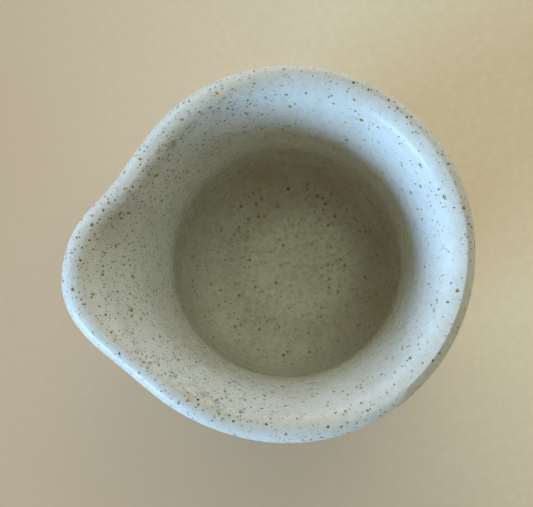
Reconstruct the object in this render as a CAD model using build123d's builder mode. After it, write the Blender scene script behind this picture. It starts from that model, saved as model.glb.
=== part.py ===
"""A small spouted stoneware cup: one thrown clay body under two coats of glaze.

The cup stands on the XY plane with +Z up. Its axis is the Z axis, its origin is the centre of
the foot, and the spout points along -X. Sizes are in millimetres.

Three sub-parts make it:
  clay_body    the fired clay: wall, floor, pulled spout and trimmed foot ring
  liner_glaze  the coat poured inside, from the floor up to the crest of the lip
  outer_glaze  the coat outside, from the crest of the lip down to the line above the bare foot
"""

import os
from math import cos, exp, radians, sin

from build123d import *

# Driving dimensions, taken over the glaze unless they say otherwise
rim_height = 80.0  # crest of the lip above the table
rim_radius = 42.5  # widest reach of the round part of the lip
outer_round = 4.8  # radius of the lip outside the crest
under_round = 3.0  # radius of the lip below its widest reach
under_lean = 55.0  # how far the outside leans out where it meets the lip, in degrees
outer_top = 60.0  # direction, up from level, in which the outer arc reaches the crest
inner_round = 4.5  # radius of the rounding inside the crest
inner_lean = 27.0  # how far the inside leans out where it meets the lip, in degrees
inner_top = 84.0  # direction, up from level, in which the inner arc reaches the crest
lip_flat = 0.6  # level strip between the two arcs, along the crest
waist_height = 47.0
waist_radius = 33.4  # outside, at the narrowest height
belly_height = 22.0
belly_radius = 34.8  # outside, at the widest height below the waist
wall = 4.3  # wall from the waist down
floor_height = 8.0  # inside floor above the table
floor_radius = 21.0  # level part of the inside floor
glaze = 0.5  # thickness of each coat
glaze_line = 7.0  # height where the outer coat stops

# The spout. Each hump of its outline is (share of the reach, angle, half width), in degrees
# from the spout's own direction, counter-clockwise seen from above.
spout_reach = 10.0  # how far it would run out past the round wall if nothing settled it
spout_start = 40.0  # height where it begins to leave the round wall
spout_settle = 76.5  # height near which it stops running out any farther
spout_curl = 1.8  # above 1 the spout curls out faster the nearer it is to the lip
spout_bend = 8  # how abruptly it settles: a higher number bends it more sharply
spout_humps = (
    (1.0, 0.0, 21.5),  # the spout itself
    (0.144, -18.0, 9.3),  # its fuller flank
    (-0.136, -41.5, 26.0),  # the dent beside that flank
    (0.058, 39.0, 14.4),  # the fuller shoulder on the other side
)

# The bare clay foot
trim_radius = 29.0  # where the wall stops, just above the foot
foot_radius = 27.5
foot_height = 4.0
foot_ring_width = 4.5
foot_recess = 2.4
foot_chamfer = 0.4

# Angles where each outline has a point: close together at the spout, wide apart elsewhere
outline_angles = [*range(-66, 67, 6), *range(90, 275, 23)]
# Even steps from one outline to the next, up the wall and over each arc of the lip
side_steps = 20
under_steps = 3
lip_steps = 5


def outline(radius, height):
    """Closed outline of a wall surface at one height: a circle pushed out towards the spout."""
    rise = max((height - spout_start) / (spout_settle - spout_start), 0) ** spout_curl
    reach = spout_reach * rise / (1 + rise**spout_bend) ** (1 / spout_bend)
    points = []
    for angle in outline_angles:
        from_spout = (angle + 180) % 360 - 180
        share = sum(
            size * exp(-(((from_spout - centre) / half_width) ** 2))
            for size, centre, half_width in spout_humps
        )
        here = radius + reach * share
        points.append((-here * cos(radians(angle)), -here * sin(radians(angle))))
    Spline(*points, periodic=True)


def within(runs, inset):
    """The solid inside one side of the wall, from its foot or floor to the crest of the lip.

    runs is a chain of curves, each with its number of steps. They are curves of radius (X)
    against height (Y), run upwards, and are moved inset to their left, towards the axis.
    """
    marks = [(curve, step / steps) for curve, steps in runs for step in range(steps)]
    marks.append((runs[-1][0], 1))
    with BuildPart() as solid:
        for curve, share in marks:
            along = curve % share
            point = curve @ share + inset * Vector(-along.Y, along.X)
            with BuildSketch(Plane.XY.offset(point.Y)):
                with BuildLine():
                    outline(point.X, point.Y)
                make_face()
        loft(ruled=True)
    return solid.part


outer_centre = (rim_radius - outer_round, rim_height - outer_round * sin(radians(outer_top)))
under_centre = (rim_radius - under_round, outer_centre[1])
crest_radius = outer_centre[0] + outer_round * cos(radians(outer_top))
inner_centre = (
    crest_radius - lip_flat + inner_round * cos(radians(inner_top)),
    rim_height - inner_round * sin(radians(inner_top)),
)

# Outside of the wall, from just above the foot to the crest
with BuildLine():
    outer_lip = CenterArc(outer_centre, outer_round, 0, outer_top)
    under_lip = CenterArc(under_centre, under_round, -under_lean, under_lean)
    outer_side = Spline(
        (trim_radius, foot_height),
        (32.4, 10.0),
        (belly_radius, belly_height),
        (waist_radius + 0.5, 35.0),
        (waist_radius, waist_height),
        (34.3, 58.0),
        (35.9, 64.5),
        (37.7, 69.3),
        (39.6, 71.9),
        under_lip @ 0,
    )
# Inside of the wall, from the flat of the floor to the crest
with BuildLine():
    inner_lip = CenterArc(inner_centre, inner_round, 180 - inner_lean, inner_lean - inner_top)
    inner_side = Spline(
        (floor_radius, floor_height),
        (23.8, 8.35),
        (26.4, 9.7),
        (28.4, 12.3),
        (29.7, 16.3),
        (30.3, 21.5),
        (belly_radius - wall, 27.0),
        (waist_radius - wall, waist_height),
        (29.8, 57.0),
        (31.0, 64.0),
        (32.6, 70.0),
        inner_lip @ 0,
    )
outer_runs = [(outer_side, side_steps), (under_lip, under_steps), (outer_lip, lip_steps)]
inner_runs = [(inner_side, side_steps), (inner_lip, lip_steps)]

coat_rise = glaze * sin(radians(inner_top))
bare_inside = within(inner_runs, -glaze)
with BuildPart() as bare_outside:
    add(within(outer_runs, glaze))
    split(bisect_by=Plane.XY.offset(rim_height - coat_rise), keep=Keep.BOTTOM)

# The disc inside the line where the two coats meet on top of the lip
with BuildPart() as crest_disc:
    with BuildSketch(Plane.XY.offset(rim_height - coat_rise)):
        with BuildLine():
            outline(crest_radius - lip_flat / 2, rim_height)
        make_face()
    extrude(amount=coat_rise)

with BuildPart() as clay_body:
    with BuildSketch():
        Circle(foot_radius)
    extrude(amount=foot_height + glaze)
    with BuildSketch():
        Circle(foot_radius - foot_ring_width)
    extrude(amount=foot_recess, mode=Mode.SUBTRACT)
    chamfer(clay_body.faces().sort_by(Axis.Z)[0].edges(), foot_chamfer)
    add(bare_outside.part)
    add(bare_inside, mode=Mode.SUBTRACT)
clay_body.part.label = "clay_body"

with BuildPart() as liner_glaze:
    add(bare_inside)
    add(crest_disc.part)
    add(within(inner_runs, 0), mode=Mode.SUBTRACT)
liner_glaze.part.label = "liner_glaze"

with BuildPart() as outer_glaze:
    add(within(outer_runs, 0))
    add(bare_outside.part, mode=Mode.SUBTRACT)
    add(crest_disc.part, mode=Mode.SUBTRACT)
    split(bisect_by=Plane.XY.offset(glaze_line), keep=Keep.TOP)
outer_glaze.part.label = "outer_glaze"

os.makedirs("parts", exist_ok=True)
export_step(clay_body.part, "parts/clay_body.step")
export_step(liner_glaze.part, "parts/liner_glaze.step")
export_step(outer_glaze.part, "parts/outer_glaze.step")
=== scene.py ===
"""The looks of a small spouted stoneware cup: clay, inside glaze and outside glaze.

Lengths in the shape functions are in millimetres and become metres when a mesh is made.
The cup stands on z = 0, its axis is the Z axis and its spout points along -X.
"""

import math
from collections import namedtuple

import bmesh
import bpy
import numpy as np
from mathutils import Matrix, Vector


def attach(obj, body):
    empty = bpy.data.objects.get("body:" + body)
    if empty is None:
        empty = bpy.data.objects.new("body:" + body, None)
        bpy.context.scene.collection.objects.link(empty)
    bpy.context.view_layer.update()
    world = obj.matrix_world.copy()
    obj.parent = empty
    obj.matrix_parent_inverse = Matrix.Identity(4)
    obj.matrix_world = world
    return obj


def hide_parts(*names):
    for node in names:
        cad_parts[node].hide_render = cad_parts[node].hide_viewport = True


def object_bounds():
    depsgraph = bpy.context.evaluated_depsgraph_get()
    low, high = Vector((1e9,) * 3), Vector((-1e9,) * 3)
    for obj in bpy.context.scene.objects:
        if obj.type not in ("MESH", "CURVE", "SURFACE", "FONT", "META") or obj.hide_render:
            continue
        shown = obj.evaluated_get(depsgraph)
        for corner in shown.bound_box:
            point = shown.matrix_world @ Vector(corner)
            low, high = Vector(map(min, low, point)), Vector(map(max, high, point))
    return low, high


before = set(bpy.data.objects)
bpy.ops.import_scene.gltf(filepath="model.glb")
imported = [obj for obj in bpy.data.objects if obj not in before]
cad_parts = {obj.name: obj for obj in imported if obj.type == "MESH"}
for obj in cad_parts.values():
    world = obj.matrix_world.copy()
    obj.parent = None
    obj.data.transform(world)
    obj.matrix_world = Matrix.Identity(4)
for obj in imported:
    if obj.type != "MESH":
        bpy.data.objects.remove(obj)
cad_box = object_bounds()
scene = bpy.context.scene
MM = 0.001

# ---------------------------------------------------------------- driving sizes
# the mesh keeps a hair inside the CAD's box
rim_height = cad_box[1].z / MM - 0.05
rim_radius = cad_box[1].x / MM - 0.1
under_round = 3.0  # radius of the lip below its widest reach
under_lean = math.radians(55)
inner_lean = math.radians(27)  # of the inside wall where it meets the lip, from upright

spout_reach = 9.9
spout_start, spout_settle = 40.0, 76.5  # the heights between which the wall runs out into the spout
spout_curl = 1.8
spout_bend = 8  # how abruptly it settles: a higher number bends it more sharply
# the spout's outline is a sum of humps: share of the reach, degrees from the middle, width in degrees
spout_humps = ((1.0, 0.0, 21.5), (0.144, -18.0, 9.3), (-0.136, -41.5, 26.0), (0.058, 39.0, 14.4))

coat = 0.45  # thickness of the glaze
hidden_back = 0.1  # how much deeper the outside glaze's hidden back lies, inside the clay
glaze_line = 7.0  # height at which the outside glaze stops
glaze_edge = 1.1  # height over which it thins out there

# what makes it look thrown by hand
oval = 0.1
throwing_rings = 4.1  # from ring to ring
inside_rings, outside_rings = 0.02, 0.05  # how far the rings stand out
slow_waver, quick_waver = 0.16, 0.1  # of the lip's height

columns = 384
turn = np.arange(columns) * 2 * math.pi / columns  # the way round, from the spout's direction
degrees = np.degrees(turn)
from_spout = (degrees + 180) % 360 - 180


# ---------------------------------------------------------------- the cup's profile
def arc(centre, radius, start, end, count=22):
    """Points along part of a circle, from one angle to another."""
    a = np.linspace(start, end, count)
    return np.stack([centre[0] + radius * np.cos(a), centre[1] + radius * np.sin(a)], 1)


def spline(points, count=110):
    """A natural cubic spline through points, even in chord length."""
    points = np.array(points, float)
    t = np.concatenate([[0], np.cumsum(np.hypot(*np.diff(points, axis=0).T))])
    h, n = np.diff(t), len(t)
    a, b = np.eye(n), np.zeros((n, 2))
    for i in range(1, n - 1):
        a[i, i - 1 : i + 2] = h[i - 1], 2 * (h[i - 1] + h[i]), h[i]
        b[i] = 6 * ((points[i + 1] - points[i]) / h[i] - (points[i] - points[i - 1]) / h[i - 1])
    m = np.linalg.solve(a, b)
    u = np.linspace(0, t[-1], count)
    k = np.clip(np.searchsorted(t, u, side="right") - 1, 0, n - 2)
    left, right, hk = (t[k + 1] - u)[:, None], (u - t[k])[:, None], h[k][:, None]
    return (
        m[k] * left**3 / (6 * hk)
        + m[k + 1] * right**3 / (6 * hk)
        + (points[k] / hk - m[k] * hk / 6) * left
        + (points[k + 1] / hk - m[k + 1] * hk / 6) * right
    )


def bend(a, corner, b, count):
    """A curve from a to b that rounds off the corner between them."""
    t = np.linspace(0, 1, count)[:, None]
    return (1 - t) ** 2 * np.array(a) + 2 * t * (1 - t) * np.array(corner) + t**2 * np.array(b)


def rounded(corners, cut, count=6):
    """A chain of straight runs with every inner corner rounded off, cut away from it."""
    corners = [np.array(c, float) for c in corners]
    runs = [corners[:1]]
    for before, corner, after in zip(corners, corners[1:], corners[2:]):
        a = corner + (before - corner) * min(cut / np.linalg.norm(before - corner), 0.5)
        b = corner + (after - corner) * min(cut / np.linalg.norm(after - corner), 0.5)
        runs.append(bend(a, corner, b, count))
    return np.concatenate([*runs, corners[-1:]])


def inset(profile, depth):
    """The profile moved depth to its left."""
    along = np.gradient(profile, axis=0)
    along /= np.maximum(np.hypot(*along.T), 1e-9)[:, None]
    return profile + depth * np.stack([-along[:, 1], along[:, 0]], 1)


def lip(crest_radius, outer_top, inner_top, flat, cut, pull=0.0):
    """Outside and inside of the wall, as rows of (radius, height) that meet on the crest.

    crest_radius is where the outer arc reaches the top. outer_top and inner_top are the directions,
    in degrees up from level, in which the two arcs reach it. flat is the level strip inside
    crest_radius, cut is how far the edge there is rounded to either side and is less than flat, and
    pull is how much farther in the flare starts, which makes it broader and flatter.
    """
    outer_top, inner_top = math.radians(outer_top), math.radians(inner_top)
    outer_round = (rim_radius - crest_radius) / (1 - math.cos(outer_top))
    widest = rim_height - outer_round * math.sin(outer_top)
    seam = crest_radius - flat

    # the inner arc starts on the line through start that leans out by inner_lean
    start = (35.96 - pull, 77.57)
    run = math.cos(inner_lean) - math.cos(inner_top)
    climb = math.sin(inner_top) - math.sin(inner_lean)
    inner_round = seam - start[0] - (rim_height - start[1]) * math.tan(inner_lean)
    inner_round /= run - climb * math.tan(inner_lean)
    inner_centre = (
        seam + inner_round * math.cos(inner_top),
        rim_height - inner_round * math.sin(inner_top),
    )
    inner_lip = arc(inner_centre, inner_round, math.pi - inner_lean, math.pi - inner_top, 40)

    under_lip = arc((rim_radius - under_round, widest), under_round, -under_lean, 0)
    outer_lip = arc((rim_radius - outer_round, widest), outer_round, 0, outer_top - cut / outer_round, 28)
    crest = bend(outer_lip[-1], (crest_radius, rim_height), (crest_radius - cut, rim_height), 12)

    outer_side = [(29, 4), (32.4, 10), (34.8, 22), (33.9, 35), (33.4, 47), (34.3, 58), (35.9, 64.5)]
    outer_side += [(37.7, 69.3), (39.6, 71.9), under_lip[0]]
    inner_side = [(18, 8), (21.2, 8.2), (24.2, 8.85), (26.7, 10.5), (28.6, 13.6), (29.8, 18), (30.3, 22)]
    inner_side += [(30.5, 27), (29.1, 47), (29.8 - 0.15 * pull, 57), (31 - 0.5 * pull, 64)]
    inner_side += [(32.4 - 0.8 * pull, 69.6), inner_lip[0]]
    floor = np.linspace((0, 8), inner_side[0], 30)

    outside = [spline(outer_side)[:-1], under_lip[:-1], outer_lip, crest[1:], [(seam, rim_height)]]
    inside = [floor[:-1], spline(inner_side, 150)[:-1], inner_lip]
    return np.concatenate(outside), np.concatenate(inside)


# ---------------------------------------------------------------- from profile to surface
def smooth(x, low, high):
    """Smooth step of x from low to high."""
    t = np.clip((x - low) / (high - low), 0, 1)
    return t * t * (3 - 2 * t)


def surface(profile, rings=0.0):
    """The profile carried round the cup and out into the spout: an array (row, column, xyz)."""
    r, z = profile[..., 0], profile[..., 1]
    share = sum(size * np.exp(-(((from_spout - at) / width) ** 2)) for size, at, width in spout_humps)
    rise = np.clip((z - spout_start) / (spout_settle - spout_start), 0, None) ** spout_curl
    out = r + spout_reach * rise / (1 + rise**spout_bend) ** (1 / spout_bend) * share
    # nothing below moves the middle of the floor
    held = np.clip(r / 20, 0, 1)
    out = out - held * oval * (1 + np.sin(2 * turn + 0.8 + z / 40)) * smooth(z, 20, 60)
    finger = np.sin(2 * math.pi * z / throwing_rings + turn + 0.6 * np.sin(2 * turn + z / 9))
    out = out + held * rings * finger * smooth(z, 9, 14) * (1 - smooth(z, 70, 76))
    waver = slow_waver * (1 + np.sin(3 * turn + 2.1)) + quick_waver * (1 + np.sin(7 * turn + 0.5))
    z = z - smooth(z, 55, 80) * waver
    return np.stack([-out * np.cos(turn), -out * np.sin(turn), z], -1)


def make_mesh(name, points, loop=False, creases=()):
    """A closed mesh from rows of points round the axis. A row on the axis becomes one point."""
    rows = [row[:1] if np.hypot(*row[:, :2].T).max() < 1e-6 else row for row in points]
    starts = np.concatenate([[0], np.cumsum([len(row) for row in rows])])
    faces = []
    for i in range(len(rows) if loop else len(rows) - 1):
        j = (i + 1) % len(rows)
        a, b = int(starts[i]), int(starts[j])
        for k in range(columns):
            n = (k + 1) % columns
            if len(rows[i]) == 1:
                faces.append((a, b + n, b + k))
            elif len(rows[j]) == 1:
                faces.append((a + k, a + n, b))
            else:
                faces.append((a + k, a + n, b + n, b + k))
    mesh = bpy.data.meshes.new(name)
    mesh.from_pydata([tuple(c) for c in np.concatenate(rows) * MM], [], faces)
    creased = {v for row in creases for v in range(starts[row], starts[row + 1])}
    bm = bmesh.new()
    bm.from_mesh(mesh)
    bmesh.ops.recalc_face_normals(bm, faces=bm.faces)
    for edge in bm.edges:
        a, b = sorted(v.index for v in edge.verts)
        edge.smooth = not (a in creased and b in creased and b - a in (1, columns - 1))
    bm.to_mesh(mesh)
    bm.free()
    mesh.polygons.foreach_set("use_smooth", [True] * len(mesh.polygons))
    piece = bpy.data.objects.new(name, mesh)
    scene.collection.objects.link(piece)
    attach(piece, "root")
    return piece


# The lip has four forms. On the spout's half it is round, and in the spout's tip its inner side is
# nearly level for a few millimetres. On the far half the outer side drops from the crest at an edge,
# which is soft, but crisp on one stretch where the glaze ran off it.
far = smooth(-np.cos(turn), -0.35, 0.35)[:, None]
crisp = (smooth(degrees, 118, 122) * (1 - smooth(degrees, 165, 200)))[:, None]
in_tip = np.exp(-(((from_spout - 3) / 15) ** 2))[:, None]
round_lip = lip(39.1, outer_top=85, inner_top=86, flat=0.6, cut=0.5)
tip_lip = lip(38.2, outer_top=84, inner_top=87, flat=0.6, cut=0.5, pull=3.2)
soft_lip = lip(40.6, outer_top=66, inner_top=81, flat=0.7, cut=0.6)
crisp_lip = lip(40.1, outer_top=58, inner_top=79, flat=0.12, cut=0.1)


def round_the_cup(change):
    """Each of the four forms of the lip through change, then mixed for every column."""
    forms = (tip_lip, round_lip, soft_lip, crisp_lip)
    tip, plain, soft, sharp = (change(form)[:, None, :] for form in forms)
    near = plain * (1 - in_tip) + tip * in_tip
    return near * (1 - far) + (soft * (1 - crisp) + sharp * crisp) * far


outside = round_the_cup(lambda form: form[0])
inside = round_the_cup(lambda form: form[1])
under_outside = round_the_cup(lambda form: inset(form[0], coat))
under_inside = round_the_cup(lambda form: inset(form[1], -coat))

# Inside glaze: its face from the axis up to the crest, then its hidden back
liner_face = surface(inside, inside_rings)
liner_back = surface(under_inside[::-1])
last = len(liner_face) - 1
liner = make_mesh("cup_liner_glaze", np.concatenate([liner_face, liner_back]), creases=(last, last + 1))
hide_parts("liner_glaze")

# Outside glaze: it thins out to nothing at a wavering line above the foot. Down there the four
# forms are nearly alike, so the round one stands for them all.
line = glaze_line + 0.35 * np.sin(2 * turn + 1) + 0.2 * np.sin(5 * turn) + 0.12 * np.sin(11 * turn + 2)
lower_wall = round_lip[0][:90]
whole = int(np.argmax(lower_wall[:, 1] > glaze_line + 4))  # the first row of the whole coat
steps = (np.linspace(0, 1, 26) ** 1.7)[:, None]
heights = line + (lower_wall[whole, 1] - line) * steps
fade = 1 - np.clip((heights - line) / glaze_edge, 0, 1)
thinning = coat * (1 - np.sqrt(1 - fade**2))
radii = np.interp(heights, lower_wall[:, 1], lower_wall[:, 0]) - thinning
lower_edge = np.stack([radii, heights], -1)
coat_face = surface(np.concatenate([lower_edge, outside[whole + 1 :]]), outside_rings)
back = round_the_cup(lambda form: inset(form[0], coat + hidden_back))
back = back[back[:, 0, 1] > glaze_line + 0.9]
coat_back = surface(back[::-1])
last = len(coat_face) - 1
coat_piece = make_mesh(
    "cup_outer_glaze",
    np.concatenate([coat_face, coat_back]),
    loop=True,
    creases=(last, last + 1, 0, last + len(coat_back)),
)
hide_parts("outer_glaze")

# Clay: recess, foot ring, then the wall and floor under the two coats
foot = rounded(
    [(0, 2.4), (22.6, 2.4), (23.3, 0), (27.2, 0), (27.5, 0.8), (27.5, 4.0), (28.7, 4.4), (29.3, 5.2)],
    cut=0.5,
)
above_foot = under_outside[:, 0, 1] > foot[-1, 1] + 0.1
foot = np.repeat(foot[:, None, :], columns, axis=1)
clay_profile = np.concatenate([foot, under_outside[above_foot], under_inside[::-1]])
clay = make_mesh("cup_clay", surface(clay_profile))
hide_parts("clay_body")


# ---------------------------------------------------------------- materials
Spots = namedtuple("Spots", "cover random ratio")


class Nodes:
    """Short ways to add shader nodes to one material."""

    def __init__(self, name):
        self.material = bpy.data.materials.new(name)
        self.material.use_nodes = True
        self.tree = self.material.node_tree
        self.shader = self.tree.nodes["Principled BSDF"]

    def feed(self, socket, value):
        if isinstance(value, bpy.types.NodeSocket):
            self.tree.links.new(value, socket)
        else:
            socket.default_value = value

    def add(self, kind, inputs=None, **settings):
        made = self.tree.nodes.new("ShaderNode" + kind)
        for key, value in settings.items():
            setattr(made, key, value)
        for key, value in (inputs or {}).items():
            self.feed(made.inputs[key], value)
        return made

    def math(self, operation, *values):
        return self.add("Math", dict(enumerate(values)), operation=operation).outputs[0]

    def vector(self, operation, inputs):
        return self.add("VectorMath", inputs, operation=operation).outputs[0]

    def times(self, product, *others):
        """All the values multiplied together."""
        for other in others:
            product = self.math("MULTIPLY", product, other)
        return product

    def ramp(self, value, low, high, to_low=0.0, to_high=1.0):
        """Smooth step of value from low to high."""
        made = self.add("MapRange", {0: value, 1: low, 2: high, 3: to_low, 4: to_high})
        made.interpolation_type = "SMOOTHSTEP"
        return made.outputs[0]

    def millimetres(self):
        """The place on the object, in millimetres."""
        place = self.add("TexCoord").outputs["Object"]
        return self.vector("SCALE", {0: place, "Scale": 1 / MM})

    def shift(self, coords, x, y, z):
        return self.vector("ADD", {0: coords, 1: (x, y, z)})

    def along(self, coords, direction):
        """How far coords lie in a direction."""
        dot = self.add("VectorMath", {0: coords, 1: direction}, operation="DOT_PRODUCT")
        return dot.outputs["Value"]

    def noise(self, coords, size, detail=2.0, rough=0.5):
        """Noise from 0 to 1 with features about size across, in the unit of coords."""
        inputs = {"Vector": coords, "Scale": 1 / size, "Detail": detail, "Roughness": rough}
        return self.add("TexNoise", inputs).outputs["Fac"]

    def mix(self, factor, a, b):
        made = self.add("Mix", data_type="RGBA")
        for key, value in ((0, factor), (6, a), (7, b)):
            self.feed(made.inputs[key], value)
        return made.outputs[2]

    def specks(self, coords, cell, keep, small, large, soft, seed):
        """Scattered spots: their cover, a random number for each, and the distance from its middle.

        The distance is a ratio to the spot's radius. One spot at most lies in each cell (mm). keep
        is the share of cells that hold one, small and large are radii (mm), and soft is the share
        of the radius over which a spot fades.
        """
        moved = self.shift(coords, seed, 1.7 * seed, 2.3 * seed)
        spots = self.add("TexVoronoi", {"Vector": moved, "Scale": 1 / cell})
        random = self.add("SeparateColor", {0: spots.outputs["Color"]})
        radius = self.ramp(random.outputs[0], 0.0, 1.0, small, large)
        there = self.math("LESS_THAN", random.outputs[1], keep)
        distance = self.times(spots.outputs["Distance"], cell)
        ratio = self.math("DIVIDE", distance, radius)
        cover = self.ramp(ratio, 1.0, 1 - soft)
        return Spots(self.times(cover, there), random.outputs[2], ratio)

    def paint(self, colour, spots, strength, first, second):
        """The colour with spots on it, each of them somewhere between two colours."""
        cover = self.times(spots.cover, strength)
        return self.mix(cover, colour, self.mix(spots.random, first, second))


def rgb(r, g, b):
    """Linear colour from 0 to 255 display values."""
    return tuple(((c / 255 + 0.055) / 1.055) ** 2.4 if c > 10 else c / 3295 for c in (r, g, b)) + (1,)


def off_white(t, coords):
    """The glaze between its specks: slightly cloudy and finely mottled."""
    cloudy = t.ramp(t.noise(coords, 16.0), 0.35, 0.7)
    mottled = t.ramp(t.noise(coords, 1.6, 3.0, 0.6), 0.35, 0.75, 0.0, 0.35)
    colour = t.mix(cloudy, rgb(222, 220, 208), rgb(213, 209, 193))
    return t.mix(mottled, colour, rgb(196, 190, 170))


def shaken(t, coords):
    """The coords with a small jitter, which makes specks uneven in outline."""
    jitter = t.add("TexNoise", {"Vector": coords, "Scale": 2.2, "Detail": 1.0}).outputs["Color"]
    jitter = t.vector("SUBTRACT", {0: jitter, 1: (0.5, 0.5, 0.5)})
    jitter = t.vector("SCALE", {0: jitter, "Scale": 0.55})
    return t.vector("ADD", {0: coords, 1: jitter})


def worn_thin(t, coords, height, spoutward):
    """Patches where the glaze runs thin over the inner edge of the lip, round the spout's sides."""
    band = t.times(t.ramp(height, 75.5, 78.0), t.ramp(height, 79.9, 79.3))
    patches = t.ramp(t.noise(coords, 2.2, 4.0, 0.75), 0.5, 0.66)
    short_of_tip = t.ramp(t.along(coords, (1, 0, 0)), -41.0, -34.0)
    return t.times(band, patches, spoutward, short_of_tip)


def floor_marks_and_painted_light(t, colour, coords, ragged, height):
    """The colour with what lies over the floor: painted light in its middle, cloud, stains and golden
    drops.
    """
    on_floor = t.ramp(height, 16.0, 9.0)
    level = t.shift(t.vector("MULTIPLY", {0: coords, 1: (1, 1, 0)}), -4.5, -1.0, 0.0)
    from_middle = t.add("VectorMath", {0: level}, operation="LENGTH").outputs["Value"]
    # painted light: paler towards the middle of the floor, where more light reaches than by the walls
    painted_floor_light = t.ramp(from_middle, 20.0, 11.0)
    colour = t.mix(t.times(on_floor, painted_floor_light, 0.75), colour, rgb(246, 250, 232))
    cloud = t.ramp(t.noise(coords, 1.5, 4.0, 0.7), 0.44, 0.64)
    colour = t.mix(t.times(on_floor, cloud, 0.4), colour, rgb(170, 170, 142))
    stains = t.specks(ragged, 1.4, keep=0.5, small=0.35, large=0.6, soft=0.9, seed=171.0)
    colour = t.paint(colour, stains, t.times(on_floor, 0.45), rgb(150, 132, 64), rgb(84, 80, 62))

    # golden drops in clusters, most of them on the side away from the spout
    side = t.along(coords, (0.82, 0.57, 0.0))
    clusters = t.ramp(t.noise(t.shift(coords, 40.0, 12.0, 5.0), 8.0), 0.44, 0.58, 0.05, 1.0)
    clusters = t.times(clusters, t.ramp(side, -8.0, 10.0, 0.3, 1.0))
    drops = t.specks(ragged, 2.0, keep=clusters, small=0.55, large=0.9, soft=0.75, seed=197.0)
    colour = t.paint(colour, drops, t.times(on_floor, 0.8), rgb(184, 158, 34), rgb(144, 118, 30))

    # browner round the floor's edge on that side
    edge = t.times(t.ramp(height, 8.2, 11.0), t.ramp(height, 30.0, 16.0))
    brown = t.times(t.ramp(t.noise(coords, 9.0), 0.35, 0.6), t.ramp(side, -2.0, 16.0))
    return t.mix(t.times(edge, brown, 0.4), colour, rgb(206, 176, 148))


def gloss(t, coords, specks):
    """Uneven gloss, and a relief of fine peel, broad ripples and specks that sink in a little."""
    roughness = t.ramp(t.noise(coords, 2.5), 0.3, 0.7, 0.25, 0.34)
    t.feed(t.shader.inputs["Roughness"], t.math("ADD", roughness, t.times(specks, 0.15)))
    t.shader.inputs["IOR"].default_value = 1.5
    t.shader.inputs["Specular IOR Level"].default_value = 0.18
    peel = t.times(t.noise(coords, 0.9), 0.008)
    ripple = t.times(t.noise(coords, 5.0, 1.0), 0.04)
    relief = t.math("SUBTRACT", t.math("ADD", peel, ripple), t.times(specks, 0.015))
    bump = t.add("Bump", {"Height": relief, "Distance": MM, "Strength": 0.7})
    t.feed(t.shader.inputs["Normal"], bump.outputs[0])


def glaze_material(name, inner):
    """Off-white glaze full of specks. Inside, they crowd towards the spout and thin out downwards."""
    t = Nodes(name)
    coords = t.millimetres()
    ragged = shaken(t, coords)
    height = t.along(coords, (0, 0, 1))
    crowd = t.times(t.ramp(t.noise(coords, 8.0), 0.36, 0.66), 0.35)
    if inner:
        wall = t.ramp(height, 11.0, 24.0, 0.12, 1.0)
        spoutward = t.ramp(t.along(coords, (1, 0, 0)), 18.0, -28.0)
        thin = worn_thin(t, coords, height, spoutward)
        crowd = t.math("ADD", crowd, t.times(spoutward, 0.65))
        crowd = t.math("ADD", crowd, t.times(thin, 0.7))
    else:
        crowd = t.math("ADD", crowd, 0.27)

    def keep(low, high):
        """The share of cells with a speck: low where none crowd, high where they crowd fully."""
        share = t.math("MULTIPLY_ADD", crowd, high - low, low)
        return t.times(share, wall) if inner else share

    dust = t.specks(ragged, 0.45, keep(0.3, 0.7), small=0.09, large=0.17, soft=0.6, seed=47.0)
    small = t.specks(ragged, 0.7, keep(0.07, 0.68), small=0.14, large=0.28, soft=0.35, seed=29.0)
    fine = t.specks(ragged, 1.0, keep(0.05, 0.36), small=0.22, large=0.38, soft=0.4, seed=11.0)
    gold = t.specks(ragged, 2.2, 0.4, small=0.34, large=0.55, soft=0.35, seed=83.0)
    rare = t.specks(ragged, 6.0, 0.2, small=0.35, large=0.7, soft=0.3, seed=131.0)

    colour = off_white(t, coords)
    dust_strength = t.ramp(height, 20.0, 50.0, 0.2, 0.4) if inner else 0.4
    colour = t.mix(t.times(dust.cover, dust_strength), colour, rgb(118, 106, 90))
    small_strength = t.math("MULTIPLY_ADD", small.random, 0.35, 0.52)
    colour = t.paint(colour, small, small_strength, rgb(96, 78, 58), rgb(56, 50, 38))
    fine_strength = t.math("MULTIPLY_ADD", fine.random, 0.3, 0.6)
    colour = t.paint(colour, fine, fine_strength, rgb(88, 66, 44), rgb(46, 42, 30))
    colour = t.paint(colour, gold, 0.95, rgb(190, 158, 32), rgb(152, 120, 30))
    # golden specks have a dark core
    core = t.ramp(gold.ratio, 0.55, 0.15)
    colour = t.mix(t.times(gold.cover, core, 0.75), colour, rgb(78, 60, 16))
    colour = t.paint(colour, rare, 0.9, rgb(42, 36, 20), rgb(104, 66, 36))
    if inner:
        # thin glaze breaks brown
        colour = t.mix(t.times(thin, 0.5), colour, rgb(124, 98, 72))
        colour = floor_marks_and_painted_light(t, colour, coords, ragged, height)
    t.feed(t.shader.inputs["Base Color"], colour)

    covered = small.cover
    for spots in (fine, gold, rare):
        covered = t.math("MAXIMUM", covered, spots.cover)
    gloss(t, coords, covered)
    return t.material


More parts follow.
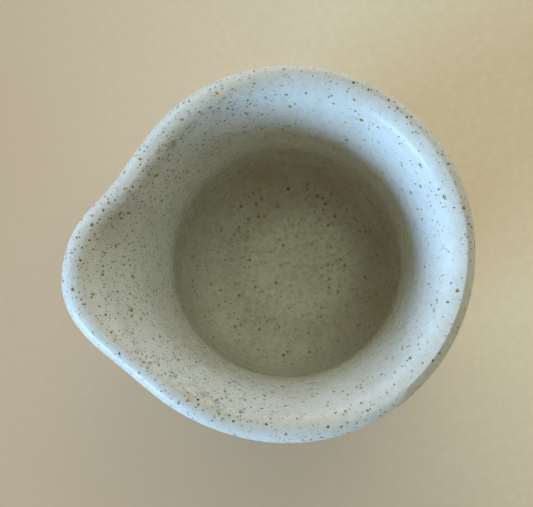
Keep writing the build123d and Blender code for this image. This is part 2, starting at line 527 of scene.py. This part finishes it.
def clay_material():
    """Buff fired clay with iron specks."""
    t = Nodes("bare_stoneware")
    coords = t.millimetres()
    broad = t.noise(coords, 9.0, 3.0)
    grain = t.noise(coords, 0.35, 2.0, 0.6)
    colour = t.mix(t.ramp(broad, 0.35, 0.7), rgb(190, 170, 140), rgb(168, 144, 112))
    colour = t.mix(t.ramp(grain, 0.4, 0.75, 0.0, 0.5), colour, rgb(138, 114, 86))
    iron = t.specks(coords, 1.0, keep=0.3, small=0.1, large=0.3, soft=0.5, seed=23.0)
    colour = t.paint(colour, iron, 0.8, rgb(52, 40, 32), rgb(110, 70, 40))
    t.feed(t.shader.inputs["Base Color"], colour)
    t.feed(t.shader.inputs["Roughness"], t.ramp(grain, 0.3, 0.7, 0.72, 0.9))
    relief = t.math("ADD", t.times(grain, 0.05), t.times(broad, 0.05))
    bump = t.add("Bump", {"Height": relief, "Distance": MM, "Strength": 1.0})
    t.feed(t.shader.inputs["Normal"], bump.outputs[0])
    return t.material


def table_material():
    """A pale, warm table top, with painted light that makes it paler towards one side and lifts the cup's
    shadow there.
    """
    t = Nodes("pale_table")
    coords = t.millimetres()
    broad = t.ramp(t.noise(coords, 200.0), 0.3, 0.7)
    fine = t.ramp(t.noise(coords, 2.5), 0.3, 0.7, 0.0, 0.12)
    # painted light: paler towards one side, standing in for stronger light there and lifting the cup's
    # shadow
    painted_light_side = t.ramp(t.along(coords, (0.95, 0.3, 0.0)), -60.0, 110.0)
    colour = t.mix(broad, rgb(228, 197, 161), rgb(222, 190, 153))
    colour = t.mix(painted_light_side, colour, rgb(252, 230, 191))
    colour = t.mix(fine, colour, rgb(208, 180, 140))
    t.feed(t.shader.inputs["Base Color"], colour)
    t.shader.inputs["Roughness"].default_value = 0.6
    return t.material


liner.data.materials.append(glaze_material("speckled_glaze_inside", inner=True))
coat_piece.data.materials.append(glaze_material("speckled_glaze_outside", inner=False))
clay.data.materials.append(clay_material())

# ---------------------------------------------------------------- table
half = 3.0  # of the table's side, in metres
corners = [(-half, -half, 0), (half, -half, 0), (half, half, 0), (-half, half, 0)]
mesh = bpy.data.meshes.new("table_top")
mesh.from_pydata(corners, [], [(0, 1, 2, 3)])
table_top = bpy.data.objects.new("table_top", mesh)
table_top.data.materials.append(table_material())
scene.collection.objects.link(table_top)

# ---------------------------------------------------------------- light
roll = math.radians(-10.5)  # from +X round to the picture's right
picture_right = Vector((math.cos(roll), math.sin(roll), 0))
picture_up = Vector((-math.sin(roll), math.cos(roll), 0))
up = Vector((0, 0, 1))
rim_centre = Vector((0, 0, rim_height * MM))
lamp_distance = 3.5  # like every size of a lamp, in metres


def aimed(direction, top):
    """Rotation that looks along direction, with top as near the picture's top as it can be."""
    back = -direction.normalized()
    right = top.cross(back).normalized()
    return Matrix((right, back.cross(right), back)).transposed()


def softbox(name, angle, elevation, width, height, power, colour):
    """An area light facing the cup. angle is measured in the picture, from its right."""
    a, e = math.radians(angle), math.radians(elevation)
    level = math.cos(a) * picture_right + math.sin(a) * picture_up
    toward = math.cos(e) * level + math.sin(e) * up
    data = bpy.data.lights.new(name, "AREA")
    data.shape = "RECTANGLE"
    data.size, data.size_y = width, height
    data.energy, data.color = power, colour
    lamp = bpy.data.objects.new(name, data)
    place = Matrix.Translation(rim_centre + lamp_distance * toward)
    lamp.matrix_world = place @ aimed(-toward, up).to_4x4()
    scene.collection.objects.link(lamp)


softbox("window", 218, 10.5, 2.0, 0.85, 200, (0.36, 0.615, 0.98))
softbox("left_sky", 175, 10, 2.0, 1.0, 26, (0.1, 0.35, 1.0))
softbox("left_wall", 120, 12, 3.0, 1.3, 55, (0.58, 0.75, 1.0))
softbox("far_wall", 60, 12, 3.0, 1.3, 15, (0.6, 0.6, 1.0))
softbox("far_fill", 90, 42, 3.5, 2.5, 29, (0.96, 1.0, 0.84))
softbox("right_fill", 30, 40, 3.5, 2.5, 9, (0.76, 0.97, 1.0))
softbox("overhead", 50, 72, 2.4, 2.4, 18, (0.93, 1.0, 0.72))

world = bpy.data.worlds.new("room")
scene.world = world
world.use_nodes = True
background = world.node_tree.nodes["Background"]
background.inputs["Color"].default_value = (1.0, 0.91, 0.72, 1)
background.inputs["Strength"].default_value = 0.18

# ---------------------------------------------------------------- camera
# The camera looks almost straight down: it tips towards the picture's top and yaws to its left.
tip, yaw = math.radians(4.75), math.radians(1.211)
look = picture_up * math.sin(tip) - up * math.cos(tip)
look = look * math.cos(yaw) - picture_right * math.sin(yaw)
spin = aimed(look, picture_up)
to_rim = Vector((0.004411, 0.000673, -0.2243))  # from the lens to the rim's centre, in its own axes
camera_data = bpy.data.cameras.new("camera")
camera_data.sensor_width = 36  # mm, as is the lens
camera_data.lens = 68.69
camera_data.clip_start = 0.01
camera = bpy.data.objects.new("camera", camera_data)
camera.matrix_world = Matrix.Translation(rim_centre - spin @ to_rim) @ spin.to_4x4()
scene.collection.objects.link(camera)
scene.camera = camera

scene.view_settings.view_transform = "Standard"
scene.view_settings.look = "None"
scene.view_settings.exposure = 0.0
